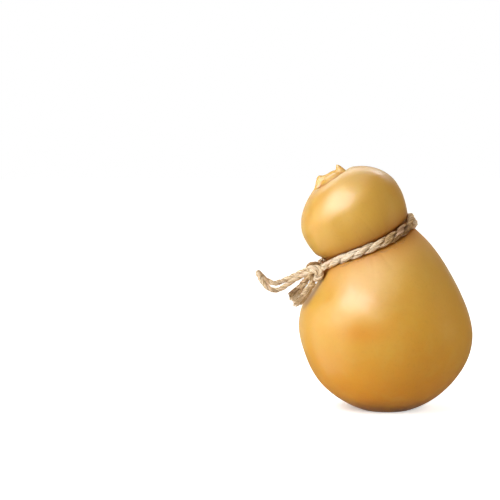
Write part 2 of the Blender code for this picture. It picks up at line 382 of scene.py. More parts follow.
def leanOver(points):
    # Takes points of the upright cheese, as rows, to their places on the leaning one.
    lengths, line, middles, leans = axis
    x, y, z = points.T
    angle = np.arctan2(y, x)
    askew = lean["slantLift"] + lean["slantSize"] * np.cos(angle - lean["slantTurn"])
    askew -= lean["dip"] * bell(turnFrom(angle, lean["dipTurn"]), 0, lean["dipWidth"])
    z = z + askew * bell(z, curd["creaseHeight"], lean["slantReach"])
    tilt = np.where(z > 0, np.interp(z, middles, leans), 0)
    over = np.maximum(0, z - lengths[-1])
    share = np.clip((z - lean["swayFrom"]) / (lean["swayTo"] - lean["swayFrom"]), 0, 1)
    centre = np.interp(z, lengths, line[:, 0])
    centre += lean["swaySize"] * np.sin(fullTurn * share) * np.sin(math.pi * share)
    height = np.interp(z, lengths, line[:, 2])
    return np.stack([
        centre + np.cos(tilt) * x - np.sin(tilt) * over,
        y,
        height + np.sin(tilt) * x + np.cos(tilt) * over], axis=1)


# The cheese. Hands shaped it, so its skin is uneven. Outwards is more, and turns are round its axis.

skin = {
    "bellyLobe": 0.5 * mm,
    "bellyLobeReach": 22 * mm,
    # How far out, turn and width in degrees, height, rise for each radian of turn, reach up and down.
    "forms": (
        (2.0 * mm, -113, 38, 57.0 * mm, -24 * mm, 12.5 * mm),      # the shoulder is fuller at the front
        (1.1 * mm, -166, 30, 54.5 * mm, 0, 6.5 * mm),      # and by the cut ends
        (-0.45 * mm, -97, 24, 96.0 * mm, 0, 9.0 * mm),     # the head is a little flatter at the front
        (-1.2 * mm, -168, 40, 78.4 * mm, 0, 1.8 * mm),     # and turns in over the knot
    ),
    "headLobe": 0.3 * mm,
    "headLobeHeight": 95 * mm,
    "headLobeReach": 9 * mm,
    "pleats": 14,
    "pleatDepth": 0.06 * mm,
    "pleatReach": 6 * mm,
    "wave": 0.22 * mm,             # low swells left by the hands, and their width
    "waveWidth": 17 * mm,
    "dent": 0.05 * mm,
    "dentWidth": 4.5 * mm,
    "calmFoot": 9 * mm,            # neither stirs the flat spot or the crease, this far from them
    "calmCrease": 4 * mm,
    "wrinkles": 46,
    "wrinkleDepth": 0.19 * mm,
    "wrinkleDepths": (0.4, 1),     # shares of that, from and to
    "wrinkleWidth": 0.5 * mm,
    "wrinkleReach": 7 * mm,
    "wrinkleReaches": (0.5, 1.3),
    "wrinkleSlants": (-0.02, 0.02),        # radians of turn for each millimetre
    "creaseReach": 3.4 * mm,       # the painted shade of the crease, and the painted glow and the dull skin below it
    "creaseBelow": 0.42,
    "glowReach": 4.4 * mm,
    "glow": 1.0,
    "dullReach": 9 * mm,
    "blushes": (                   # turn in degrees, height, width in degrees, reach, strength
        (-105, 38.5 * mm, 16, 4.8 * mm, 1.0),
        (-128, 26 * mm, 26, 6 * mm, 0.25),
        (20, 34 * mm, 24, 7 * mm, 0.5),
        (88, 42 * mm, 20, 5 * mm, 0.6),
        (150, 30 * mm, 22, 6 * mm, 0.45),
        (60, 92 * mm, 26, 4 * mm, 0.4),
    ),
    "seed": 5,
}

# The crown, where the curd was pinched shut: a fold in a shallow dimple.

crown = {
    "from": 99 * mm,
    "dimpleRadius": 6.9 * mm,
    "dimpleWidth": 2.0 * mm,
    "dimpleDepth": 1.25 * mm,
    "dimpleLean": 0.45,            # it is shallower at the left
    "dimpleTurn": math.radians(-55),
    "cut": 0.45 * mm,              # and its rim is lower at the front
    "cutRadius": 9.5 * mm,
    "cutWidth": 3.2 * mm,
    "cutTurn": math.radians(-120),
    "cutAngle": math.radians(42),
    "bluntness": 2.9,              # how square the lumps of the fold are
    "lumps": (                     # parts of the fold: along, across, half length, half width, height
        (-5.5 * mm, 0.2 * mm, 2.7 * mm, 1.9 * mm, 2.05 * mm),
        (5.8 * mm, -0.3 * mm, 1.4 * mm, 1.9 * mm, 3.3 * mm),
        (-1.2 * mm, 0.0 * mm, 7.2 * mm, 1.7 * mm, 1.3 * mm),
    ),
    "troughShade": 0.85,                  # the trough round the fold gets painted shade, but not the fold's ends
    "darkFrom": 5.2 * mm,
    "darkTo": 8.2 * mm,
    "darkHeight": 0.9 * mm,
    "seamDepth": 0.45 * mm,        # where the two lips of the fold meet, in a wavy line
    "seamWidth": 0.35 * mm,
    "seamBend": 0.5 * mm,
    "seamBendLength": 2.2 * mm,
    "seamFrom": 1.5 * mm,          # the fold is this high before the seam has its full depth
    "gathers": 11,                 # radial pleats round the fold
    "gatherDepth": 0.16 * mm,
    "gatherFrom": 3 * mm,
    "gatherRadius": 8 * mm,
    "gatherReach": 4 * mm,
    "gatherWobble": 1.4,           # so that they don't stand evenly
    "gatherPhase": 0.7,
}


def curdOutline():
    # The upright cheese's half section, from its top down to the middle of the flat spot.
    def curve(start, startHandle, endHandle, end, steps):
        return interpolate_bezier(start, start + startHandle, end + endHandle, end, steps + 1)

    def slope(angle, sign, length):
        return Vector((math.cos(angle), 0, sign * math.sin(angle))) * length

    steps = curd["steps"]
    down = Vector((0, 0, -1))
    flat = Vector((curd["flatRadius"], 0, 0))
    belly = Vector((curd["bellyRadius"], 0, curd["bellyHeight"]))
    head = Vector((curd["headRadius"], 0, curd["headHeight"]))
    top = Vector((0, 0, curd["topHeight"]))
    rope = Vector((curd["ropeRadius"], 0, curd["creaseHeight"]))
    groove = []
    for step in range(steps["groove"] + 1):
        turn = math.pi + curd["creaseHalfTurn"] * (2 * step / steps["groove"] - 1)
        groove.append(rope + slope(turn, 1, curd["grooveRadius"]))
    outline = curve(top, Vector((curd["topHandle"], 0, 0)),
                    -down * curd["headUpperHandle"], head, steps["dome"])
    outline += curve(head, down * curd["headLowerHandle"],
                     slope(curd["lipSlope"], 1, curd["lipHandle"]), groove[0], steps["lip"])[1:]
    outline += groove[1:]
    outline += curve(groove[-1], slope(curd["shoulderSlope"], -1, curd["shoulderHandle"]),
                     -down * curd["bellyHandle"], belly, steps["shoulder"])[1:]
    outline += curve(belly, down * curd["bellyHandle"],
                     slope(curd["flatSlope"], 1, curd["flatHandle"]), flat, steps["base"])[1:]
    return outline + [Vector((0, 0, 0))]


def crownRidge(x, y):
    ridge = np.zeros_like(x)
    for along, across, length, width, size in crown["lumps"]:
        far = np.abs((x - along) / length) ** crown["bluntness"]
        far += np.abs((y - across) / width) ** crown["bluntness"]
        ridge += size * np.exp(-far)
    return ridge


def crownHeight(x, y):
    # How far the skin of the crown stands over the plain dome: dimple, rim, fold, seam and gathers.
    radius = np.hypot(x, y)
    angle = np.arctan2(y, x)
    height = -crown["dimpleDepth"] * bell(radius, crown["dimpleRadius"], crown["dimpleWidth"])
    height *= 1 + crown["dimpleLean"] * np.cos(angle - crown["dimpleTurn"])
    inFront = bell(turnFrom(angle, crown["cutTurn"]), 0, crown["cutAngle"])
    height -= crown["cut"] * bell(radius, crown["cutRadius"], crown["cutWidth"]) * inFront
    ridge = crownRidge(x, y)
    bent = y - crown["seamBend"] * np.sin(x / crown["seamBendLength"])
    seam = crown["seamDepth"] * bell(bent, 0, crown["seamWidth"])
    seam *= np.clip(ridge / crown["seamFrom"], 0, 1)
    gather = crown["gatherDepth"] * bell(radius, crown["gatherRadius"], crown["gatherReach"])
    gather *= np.clip(radius / crown["gatherFrom"] - 1, 0, 1)
    wobble = crown["gatherWobble"] * np.sin(2 * angle + crown["gatherPhase"])
    return height + ridge - seam - gather * (1 - np.cos(crown["gathers"] * angle + wobble)) / 2


def swells(points, width, size):
    # Soft unevenness, as the noise at each point for features of that width.
    return np.array([noise.noise(Vector(point) / width) for point in points]) * size


def wrinkleDepth(angle, height):
    # Fine creases that run up and down from the neck, each at its own place, slant and length.
    draw = random.Random(skin["seed"])
    depth = np.zeros_like(angle)
    for _ in range(skin["wrinkles"]):
        middle = draw.uniform(-math.pi, math.pi)
        side = draw.choice((-1, 1, -1))     # two in three are below the rope
        reach = skin["wrinkleReach"] * draw.uniform(*skin["wrinkleReaches"])
        slant = draw.uniform(*skin["wrinkleSlants"]) / mm
        size = skin["wrinkleDepth"] * draw.uniform(*skin["wrinkleDepths"])
        beyond = side * (height - curd["creaseHeight"]) - curd["grooveRadius"]
        away = turnFrom(angle - middle, slant * beyond)
        line = bell(away * curd["ropeRadius"], 0, skin["wrinkleWidth"])
        depth += np.where(beyond > 0, size * line * np.exp(-((np.maximum(beyond, 0) / reach) ** 2)), 0)
    return depth


def shapeCurd(points):
    # Takes points of the plain upright cheese, as rows, to the uneven and leaning one.
    x, y, z = points.T
    radius = np.hypot(x, y)
    angle = np.arctan2(y, x)
    belly = bell(z, curd["bellyHeight"], skin["bellyLobeReach"])
    change = -skin["bellyLobe"] * np.sin(3 * angle) * belly
    for out, turn, width, height, rise, reach in skin["forms"]:
        away = turnFrom(angle, math.radians(turn))
        change += out * bell(away, 0, math.radians(width)) * bell(z - rise * away, height, reach)
    head = bell(z, skin["headLobeHeight"], skin["headLobeReach"])
    change += skin["headLobe"] * np.sin(2 * angle) * head
    beyond = np.maximum(0, np.abs(z - curd["creaseHeight"]) - curd["grooveRadius"])
    fade = np.exp(-beyond / skin["pleatReach"]) * (1 - np.exp(-beyond / mm))
    change -= skin["pleatDepth"] * fade * (1 + np.cos(skin["pleats"] * angle))
    change -= wrinkleDepth(angle, z)
    free = 1 - np.exp(-((z / skin["calmFoot"]) ** 2))
    free *= 1 - bell(z, curd["creaseHeight"], skin["calmCrease"])
    change += free * swells(points, skin["waveWidth"], skin["wave"])
    change += free * swells(points + 1, skin["dentWidth"], skin["dent"])
    pole = 0.01 * mm     # a point this near the axis stays on it
    isFree = (radius > pole) & (z > 0)
    scale = np.where(isFree, (radius + change) / np.maximum(radius, pole), 1)
    shaped = np.stack([x * scale, y * scale, z], axis=1)
    isCrown = z > crown["from"]
    shaped[isCrown, 2] += crownHeight(shaped[isCrown, 0], shaped[isCrown, 1])
    return leanOver(shaped)


def makeCheese():
    work = bmesh.new()
    outline = [work.verts.new(point) for point in curdOutline()]
    edges = [work.edges.new(pair) for pair in zip(outline, outline[1:])]
    bmesh.ops.spin(work, geom=outline + edges, cent=(0, 0, 0), axis=(0, 0, 1), dvec=(0, 0, 0),
                   angle=fullTurn, steps=curd["sectors"], use_merge=True)
    bmesh.ops.remove_doubles(work, verts=work.verts, dist=curd["weld"])
    upright = np.array([vertex.co for vertex in work.verts])
    x, y, heights = upright.T
    radii = np.hypot(x, y)
    turns = np.degrees(np.arctan2(y, x))
    away = np.maximum(np.abs(heights - curd["creaseHeight"]) - curd["grooveRadius"], 0)
    isBelow = heights < curd["creaseHeight"]

    # Painted shade in the neck's crease, weaker below it, and in the trough round the crown's fold.
    paintedShade = np.exp(-away / skin["creaseReach"]) * np.where(isBelow, skin["creaseBelow"], 1)
    trough = np.clip((radii - crown["darkFrom"]) / mm, 0, 1)
    trough *= np.clip((crown["darkTo"] - radii) / mm, 0, 1)
    trough *= np.clip(2 - 2 * crownRidge(x, y) / crown["darkHeight"], 0, 1)
    paintedShade = np.where(heights > crown["from"], np.maximum(paintedShade, crown["troughShade"] * trough), paintedShade)

    blushAndGlow = np.zeros(len(upright))
    for turn, height, width, reach, strength in skin["blushes"]:
        aside = turnFrom(turns, turn, 360)
        blushAndGlow = np.maximum(blushAndGlow, strength * bell(aside, 0, width) * bell(heights, height, reach))
    # A painted glow of light just below the twine, kept with the blushes.
    glow = skin["glow"] * np.exp(-away / skin["glowReach"])
    blushAndGlow = np.where(isBelow, np.maximum(blushAndGlow, glow), blushAndGlow)

    dullness = np.where(isBelow, bell(away, 0, skin["dullReach"]), 0)
    crease = work.verts.layers.float.new("crease")
    blush = work.verts.layers.float.new("blush")
    dull = work.verts.layers.float.new("dull")
    for vertex, place, *shares in zip(work.verts, shapeCurd(upright), paintedShade, blushAndGlow, dullness):
        vertex.co = place
        vertex[crease], vertex[blush], vertex[dull] = shares
    return addPiece("scamorza", work, "rind", "cheese")


makeCheese()
print("cheese made")


# The twine. A strand is a grid wrapped round a path, with two plies that wind round each other.

twine = {
    "radius": 1.0 * mm,
    "lay": 8.0 * mm,               # length of one turn of the plies
    "notch": 0.34,                 # depth between the plies, as a share of the radius
    "notchPower": 1.6,
    "fuzz": 0.12,                  # unevenness, as a share of the radius
    "ridges": 0.24,                # depth of the fibres' furrows, as a share of the radius
    "fibreLength": 2.5 * mm,
    "fuzzScale": (2.6, 2.6, 0.7),          # across the strand twice, and along it
    "ridgeScale": (7.5, 7.5, 1.1),
    "streakScale": (1, 1, 0.35),
    "notchDark": (0.45, 1.1),      # the depth where the painted shade in the notch starts, and its strength
    "ridgeDark": (0.08, 1.6),
    "seedShift": (3.7, 1.9, 5.3),          # moves the pattern on for each strand
    "step": 0.28 * mm,
    "sides": 44,
    "curveSteps": 25,
    "weld": 0.001 * mm,            # points nearer than this are one
}


def smoothRoute(points, step):
    # Evenly spaced points on a smooth curve through the route's points.
    knots = [Vector(point) for point in points]
    ends = [2 * knots[0] - knots[1]] + knots + [2 * knots[-1] - knots[-2]]
    dense = []
    for before, start, end, after in zip(ends, ends[1:], ends[2:], ends[3:]):
        handles = (start + (end - before) / 6, end - (after - start) / 6)
        piece = interpolate_bezier(start, *handles, end, twine["curveSteps"])
        dense += piece if not dense else piece[1:]
    line = np.array(dense)
    lengths = lengthsAlong(line)
    count = max(2, round(lengths[-1] / step) + 1)
    places = np.linspace(0, lengths[-1], count)
    return np.stack([np.interp(places, lengths, line[:, side]) for side in range(3)], axis=1)


def pathFrames(points, guide=None):
    # Two crossings for each point of a path. Without a guide they are carried along untwisted.
    along = np.gradient(points, axis=0)
    along /= np.linalg.norm(along, axis=1)[:, None]
    sides = []
    side = np.array(Vector(along[0]).orthogonal())
    for index, direction in enumerate(along):
        side = side if guide is None else guide[index]
        side = side - side.dot(direction) * direction
        side = side / np.linalg.norm(side)
        sides.append(side)
    sides = np.array(sides)
    return sides, np.cross(along, sides)


def startTwine():
    work = bmesh.new()
    work.verts.layers.float_vector.new("fibre")
    work.verts.layers.float.new("hollowShade")
    work.verts.layers.float.new("tone")
    return work


def twineLayers(work):
    floats = work.verts.layers.float
    return work.verts.layers.float_vector["fibre"], floats["hollowShade"], floats["tone"]


def closeTubes(work, verts, weld):
    # Joins each grid along its seam, and fills the round holes at its ends.
    bmesh.ops.remove_doubles(work, verts=verts, dist=weld)
    bmesh.ops.holes_fill(work, edges=[edge for edge in work.edges if edge.is_boundary])


def addStrand(work, points, sizes, tones=None, guide=None, flat=1.0, seed=0):
    # Wraps a grid round the path. sizes scales each step, tones darkens it, flat widens the section.
    fibre, hollowShade, tone = twineLayers(work)
    sides, ups = pathFrames(points, guide)
    lengths = lengthsAlong(points)
    count = len(points) - 1
    grid = bmesh.ops.create_grid(work, x_segments=twine["sides"], y_segments=count, size=0.5)["verts"]
    start = Vector([seed * shift for shift in twine["seedShift"]])
    notchFrom, notchDark = twine["notchDark"]
    ridgeFrom, ridgeDark = twine["ridgeDark"]
    for vertex in grid:
        turn = (vertex.co.x + 0.5) * fullTurn
        step = round((vertex.co.y + 0.5) * count)
        far = lengths[step]
        ply = turn - fullTurn * far / twine["lay"]
        place = Vector((math.cos(ply), math.sin(ply), far / twine["fibreLength"]))
        valley = (1 - abs(math.cos(ply))) ** twine["notchPower"]
        rough = noise.noise(start + stretch(place, twine["fuzzScale"]))
        furrow = noise.noise(2 * start + stretch(place, twine["ridgeScale"]))
        radius = twine["radius"] * (1 - twine["notch"] * valley + twine["fuzz"] * rough
                                    + twine["ridges"] * furrow) * sizes[step]
        arm = math.cos(turn) * sides[step] + flat * math.sin(turn) * ups[step]
        vertex.co = Vector(points[step] + radius * arm)
        if tones is not None:
            vertex[tone] = tones[step]
        vertex[fibre] = start + stretch(place, twine["streakScale"])
        # Painted shade in the notch between the plies and in the furrows of the fibres.
        vertex[hollowShade] = (max(0, valley - notchFrom) * notchDark
                          + max(0, -furrow - ridgeFrom) * ridgeDark)
    closeTubes(work, grid, twine["weld"])


# The hanging loop, from its exit at the knot, round the bight and back to the knot.

loop = {
    "route": (
        (-0.0360, -0.0096, 0.0628), (-0.0392, -0.0077, 0.0612), (-0.0428, -0.0058, 0.0593),
        (-0.0464, -0.0042, 0.0576), (-0.0498, -0.0030, 0.0566), (-0.0534, -0.0026, 0.0579),
        (-0.0560, -0.0043, 0.0605), (-0.0567, -0.0077, 0.0617), (-0.0561, -0.0112, 0.0606),
        (-0.0541, -0.0133, 0.0575), (-0.0510, -0.0130, 0.0548), (-0.0476, -0.0123, 0.0545),
        (-0.0439, -0.0120, 0.0566), (-0.0401, -0.0117, 0.0592), (-0.0363, -0.0113, 0.0610),
    ),
    "length": 0.0573,
    "swell": 1.12,                 # the loop's twine is slacker, so a little thicker
    "tone": -0.05,
    "seed": 1,
}


def makeLoop():
    line = smoothRoute(loop["route"], twine["step"])
    work = startTwine()
    sizes = np.full(len(line), loop["swell"])
    tones = np.full(len(line), loop["tone"])
    addStrand(work, line, sizes, tones, seed=loop["seed"])
    return addPiece("twineLoop", work, "jute", "twine_loop"), line


loopPiece, loopLine = makeLoop()
print("loop made")


# The doubled twine round the neck: two strands laid round each other along the crease.

neck = {
    "knotTurn": math.radians(203),
    "knotDistance": 27.2 * mm,
    "knotDrop": 2.1 * mm,
    "turns": 11,
    "offset": 0.98 * mm,           # from the rope's middle to each strand's
    "flat": 1.38,
    "steps": 560,
    "bulgeTurn": math.radians(-4),         # where the two strands lie apart, one above the other
    "bulgeWidth": math.radians(24),
    "bulge": 0.7 * mm,
    "spread": 0.75 * mm,
    "loosen": 0.9,                 # how nearly they stop winding there
    "bulgeSwell": 0.1,
    "wanderRate": 2.5,             # unevenness along the rope, and what it does to the winding,
    "wanderTurn": 0.4,             # the thickness and the tone
    "wanderSize": 0.12,
    "wanderTone": 0.12,
    "tones": (                     # turn and width in degrees, and how much darker the twine is there: painted light and shade round the neck
        (-110, 30, -0.18),
        (-42, 28, 0.17),
        (-4, 10, -0.12),
        (70, 40, 0.05),
        (150, 30, -0.05),
    ),
}


def ropeLine(angles):
    # The rope's middle at angles round the neck: a circle, with straight runs out to the knot.
    fromKnot = np.abs(turnFrom(angles, neck["knotTurn"]))
    spread = math.acos(curd["ropeRadius"] / neck["knotDistance"])
    radius = curd["ropeRadius"] / np.cos(np.maximum(0, spread - fromKnot))
    far = (radius - curd["ropeRadius"]) / (neck["knotDistance"] - curd["ropeRadius"])
    height = curd["creaseHeight"] - neck["knotDrop"] * far
    return np.stack([radius * np.cos(angles), radius * np.sin(angles), height], axis=1)


def makeNeckTwine(name, phase, seed):
    angles = neck["knotTurn"] + np.linspace(0, fullTurn, neck["steps"] + 1)
    outward = np.stack([np.cos(angles), np.sin(angles), np.zeros_like(angles)], axis=1)
    upward = np.array([0.0, 0.0, 1.0])
    wander = np.array([noise.noise(Vector((seed, 0, angle * neck["wanderRate"]))) for angle in angles])
    loose = bell(turnFrom(angles, neck["bulgeTurn"]), 0, neck["bulgeWidth"])
    pace = neck["turns"] * (1 - neck["loosen"] * loose) * (angles[1] - angles[0])
    wind = np.cumsum(pace) + phase + neck["wanderTurn"] * wander
    # In the middle of the bulge one strand is straight above the other.
    wind += math.pi / 2 - np.cumsum(pace)[np.argmax(loose)]
    offset = neck["offset"] + neck["spread"] * loose
    arm = np.cos(wind)[:, None] * outward + np.sin(wind)[:, None] * upward
    centre = ropeLine(angles) + (neck["bulge"] * loose)[:, None] * outward
    middle = leanOver(centre)
    strand = leanOver(centre + offset[:, None] * arm)
    sizes = 1 + neck["wanderSize"] * wander + neck["bulgeSwell"] * loose
    tones = neck["wanderTone"] * wander
    for turn, width, darker in neck["tones"]:
        tones += darker * bell(turnFrom(np.degrees(angles), turn, 360), 0, width)
    work = startTwine()
    addStrand(work, strand, sizes, tones, guide=strand - middle, flat=neck["flat"], seed=seed)
    return addPiece(name, work, "jute", "twine_tie")


makeNeckTwine("neckTwineOne", phase=0, seed=2)
makeNeckTwine("neckTwineTwo", phase=math.pi, seed=3)
print("neck twine made")


# The knot: strands that wrap round the bundle and tuck under each other. Millimetres from its middle.

knot = {
    "core": (2.5, 2.3, 2.6),
    "strands": {
        "frontWrap": ((-3.2, -0.4, 0.9), (-1.7, -1.8, 1.7), (0.3, -2.6, 1.8), (1.9, -2.6, 0.9),
                      (2.3, -2.5, -0.7), (1.6, -2.4, -2.3), (0.2, -2.0, -3.2), (-1.1, -0.7, -3.2),
                      (-1.4, 0.8, -2.1)),
        "innerWrap": ((-3.0, -0.8, -0.2), (-1.6, -2.5, 0.3), (-0.2, -3.1, 0.3), (0.7, -3.1, -0.5),
                      (0.5, -2.6, -1.4), (-0.3, -1.8, -1.9)),
        "topArch": ((-3.9, 1.2, 0.9), (-3.5, 0.5, 2.2), (-2.3, 0.1, 3.3), (-0.7, 0.2, 3.6),
                    (0.9, 0.6, 3.2), (2.1, 1.2, 2.1), (2.4, 1.9, 0.4)),
        "backWrap": ((-1.8, 1.9, 2.2), (0.6, 2.8, 1.8), (2.4, 2.3, 0.0), (1.7, 2.4, -2.0),
                     (-0.7, 2.3, -2.5), (-2.3, 1.3, -1.4)),
        "upperLoop": ((-5.4, 1.3, 0.1), (-4.9, 1.0, 0.3), (-3.0, 0.2, 1.1), (-1.0, 0.0, 1.6),
                      (0.6, 0.2, 1.0)),
        "lowerLoop": ((-5.8, -0.8, -1.7), (-5.2, -0.7, -1.5), (-3.4, -1.5, -0.4), (-1.5, -2.1, 0.3),
                      (0.4, -1.9, 0.5), (1.4, -0.8, 0.3)),
        "outerEnd": ((-5.1, 0.1, -4.7), (-4.7, 0.1, -4.3), (-3.9, -0.4, -3.1), (-2.9, -0.7, -1.5)),
        "innerEnd": ((-1.6, -1.4, -5.3), (-1.4, -1.2, -4.7), (-1.9, -1.5, -3.1), (-2.4, -1.4, -1.4),
                     (-1.6, -0.6, 0.0)),
    },
    "thickness": {                 # as a share of the twine's, where it isn't 1
        "frontWrap": 1.28, "topArch": 0.85, "upperLoop": 1.12, "lowerLoop": 1.18,
        "outerEnd": 1.2, "innerEnd": 1.2,
    },
    "tone": {                      # how much darker: painted shade on the arch at the back, painted light on the wraps in front
        "frontWrap": -0.09, "innerWrap": -0.06, "topArch": 0.14, "backWrap": 0.03,
        "outerEnd": 0.06, "innerEnd": 0.05, "upperLoop": -0.05, "lowerLoop": -0.08,
    },
    "coreDark": 0.9,               # a dark core, painted shade that only shows in the gaps
    "coreScale": 2,
    "seed": 10,
}


def knotCentre():
    turn = neck["knotTurn"]
    far = neck["knotDistance"]
    upright = (far * math.cos(turn), far * math.sin(turn), curd["creaseHeight"] - neck["knotDrop"])
    return Vector(leanOver(np.array([upright]))[0])


def makeKnot():
    middle = knotCentre()
    work = startTwine()
    core = bmesh.ops.create_icosphere(work, subdivisions=3, radius=1)["verts"]
    fibre, hollowShade, _ = twineLayers(work)
    for vertex in core:
        vertex[fibre] = vertex.co * knot["coreScale"]
        vertex[hollowShade] = knot["coreDark"]
        vertex.co = middle + Vector([side * size * mm for side, size in zip(vertex.co, knot["core"])])
    for seed, (name, route) in enumerate(knot["strands"].items()):
        line = smoothRoute([middle + Vector(point) * mm for point in route], twine["step"])
        sizes = np.full(len(line), knot["thickness"].get(name, 1.0))
        tones = np.full(len(line), knot["tone"].get(name, 0.0))
        addStrand(work, line, sizes, tones, seed=knot["seed"] + seed)
    return addPiece("twineKnot", work, "jute", "twine_tie")


makeKnot()
print("knot made")


# The two cut ends: a strand that opens into a tuft of fibres of uneven length.

endRoutes = {
    "twine_end_outer": ((-0.0358, -0.0105, 0.0582), (-0.0378, -0.0107, 0.0556),
                        (-0.0400, -0.0109, 0.0531), (-0.0423, -0.0110, 0.0506)),
    "twine_end_inner": ((-0.0323, -0.0118, 0.0578), (-0.0343, -0.0126, 0.0547),
                        (-0.0371, -0.0131, 0.0512), (-0.0402, -0.0134, 0.0479)),
}

tuft = {
    "locks": 10,
    "lockRadius": 0.74 * mm,
    "lockRings": (0.35, 0.8, 1.0),         # how far out a lock stands, as a share of what follows
    "root": 0.6 * mm,              # how far the locks' middles stand from the route, and at their tips
    "tip": 1.85 * mm,
    "opens": 0.15,                 # share of the route where the strand starts to open
    "flare": 0.8,
    "lockTurn": (-0.3, 0.3),       # from and to, for each lock
    "lockReach": (0.82, 1.12),
    "lockTwist": (0.1, 0.8),
    "lockDark": (-0.05, 0.17),
    "fibres": 32,                  # in each lock
    "fibreReach": (0.86, 1.05),
    "fibreWave": (-0.16, 0.16),    # millimetres
    "fibreWaves": 5,
    "fibrePoints": 9,
    "fibreTint": 0.25,
    "thickness": (0.12 * mm, 0.23 * mm),
    "taper": 0.65,                 # how much thinner a fibre is at its tip
    "pattern": (9, 5, 0.15),       # where in the jute's pattern it takes its colour
    "core": 0.6,                   # share of the route that the solid strand reaches
    "swell": (1.42, 1.75),         # its thickness at the knot and where it opens
    "coreTip": (0.9, 0.6, 0.25),
    "weld": 0.0005 * mm,
}


def addFibre(work, points, radius, tint, darker):
    # One thin fibre: a three-sided tube that tapers to its tip.
    fibre, _, tone = twineLayers(work)
    sides, ups = pathFrames(points)
    count = len(points) - 1
    for vertex in bmesh.ops.create_grid(work, x_segments=3, y_segments=count, size=0.5)["verts"]:
        turn = (vertex.co.x + 0.5) * fullTurn
        step = round((vertex.co.y + 0.5) * count)
        size = radius * (1 - tuft["taper"] * (step / count) ** 2)
        arm = math.cos(turn) * sides[step] + math.sin(turn) * ups[step]
        vertex.co = Vector(points[step] + size * arm)
        vertex[fibre] = stretch((tint, tint, step), tuft["pattern"])
        vertex[tone] = darker


def makeEnd(name, node, seed):
    draw = random.Random(seed)
    line = smoothRoute(endRoutes[node], twine["step"])
    sides, ups = pathFrames(line)
    spread = tuft["tip"] - tuft["root"]
    work = startTwine()
    for lock in range(tuft["locks"]):
        lockTurn = fullTurn * lock / tuft["locks"] + draw.uniform(*tuft["lockTurn"])
        lockRing = draw.choice(tuft["lockRings"])
        lockReach = draw.uniform(*tuft["lockReach"])
        lockTint = draw.random()
        twist = draw.uniform(*tuft["lockTwist"])
        darker = draw.uniform(*tuft["lockDark"])
        for _ in range(tuft["fibres"]):
            ring = tuft["lockRadius"] * math.sqrt(draw.random())
            turn = draw.uniform(0, fullTurn)
            reach = lockReach * draw.uniform(*tuft["fibreReach"])
            wave = draw.uniform(*tuft["fibreWave"]) * mm
            points = []
            for place in np.linspace(0, 1, tuft["fibrePoints"]):
                far = place * reach * (len(line) - 1)
                step = min(int(far), len(line) - 2)
                base = line[step] + (far - step) * (line[step + 1] - line[step])
                opened = max(0, place - tuft["opens"]) / (1 - tuft["opens"])
                out = lockRing * (tuft["root"] + spread * opened ** tuft["flare"])
                angle = lockTurn + twist * place
                inLock = ring + wave * math.sin(place * tuft["fibreWaves"] + turn)
                across = out * math.cos(angle) + inLock * math.cos(turn)
                upward = out * math.sin(angle) + inLock * math.sin(turn)
                points.append(base + across * sides[step] + upward * ups[step])
            thickness = draw.uniform(*tuft["thickness"])
            tint = lockTint + tuft["fibreTint"] * draw.random()
            addFibre(work, np.array(points), thickness, tint, darker)
    bmesh.ops.remove_doubles(work, verts=work.verts, dist=tuft["weld"])
    core = line[:max(3, int(len(line) * tuft["core"]))]
    sizes = np.linspace(*tuft["swell"], len(core))
    sizes[-3:] *= tuft["coreTip"]
    addStrand(work, core, sizes, seed=seed)
    return addPiece(name, work, "jute", node)


endPieces = [
    makeEnd("twineEndOuter", "twine_end_outer", seed=21),
    makeEnd("twineEndInner", "twine_end_inner", seed=22),
]
print("ends made")


# Loose hairs that stand off the twine.

hairs = {
    "neck": 170,                   # how many
    "loop": 46,
    "length": (1.2 * mm, 4.2 * mm),
    "thickness": (0.035 * mm, 0.07 * mm),
    "tone": 0.14,
    "root": 0.9,                   # share of the radius where a hair starts
    "lift": (0.15, 0.9),
    "curl": 0.16,
    "bends": 7,
    "neckRadius": 1.7 * mm,
    "neckSteps": 200,
    "knotGap": 0.05,               # radians beside the knot without hairs
    # Long fibres on the rind below the rope: from and to in degrees, and how low at each.
    "strays": (
        (-128, -96, 3.4 * mm, 2.6 * mm),
        (-112, -82, 2.9 * mm, 3.9 * mm),
        (-78, -58, 3.0 * mm, 4.6 * mm),
        (-52, -30, 3.6 * mm, 2.7 * mm),
        (40, 70, 3.0 * mm, 3.8 * mm),
        (120, 150, 3.6 * mm, 2.8 * mm),
    ),
    "strayPoints": 26,
    "strayThickness": 0.07 * mm,
    "strayWave": 0.5 * mm,
    "strayWaves": 7,
    "seed": 8,
}


def hairLine(draw, root, outward, along):
    # A hair that leaves its root, bends over and curls.
    length = draw.uniform(*hairs["length"])
    curl = Vector([draw.uniform(-1, 1) for _ in range(3)])
    heading = (along * draw.choice((-1, 1)) + outward * draw.uniform(*hairs["lift"])).normalized()
    points = [root]
    for _ in range(hairs["bends"]):
        heading = (heading + curl * hairs["curl"]).normalized()
        points.append(points[-1] + heading * length / hairs["bends"])
    return np.array(points)


def strayLine(start, end, startDrop, endDrop):
    # A long fibre that lies on the shoulder, as points just off the rind.
    share = np.linspace(0, 1, hairs["strayPoints"])
    angles = np.radians(start + (end - start) * share)
    wave = hairs["strayWave"] * np.sin(hairs["strayWaves"] * share)
    heights = curd["creaseHeight"] - (startDrop + (endDrop - startDrop) * share + wave)
    below = [(point.z, point.x) for point in curdOutline() if point.z < curd["creaseHeight"]]
    shoulder = np.array(below)[::-1]
    radii = np.interp(heights, shoulder[:, 0], shoulder[:, 1]) + hairs["strayThickness"]
    return shapeCurd(np.stack([radii * np.cos(angles), radii * np.sin(angles), heights], axis=1))


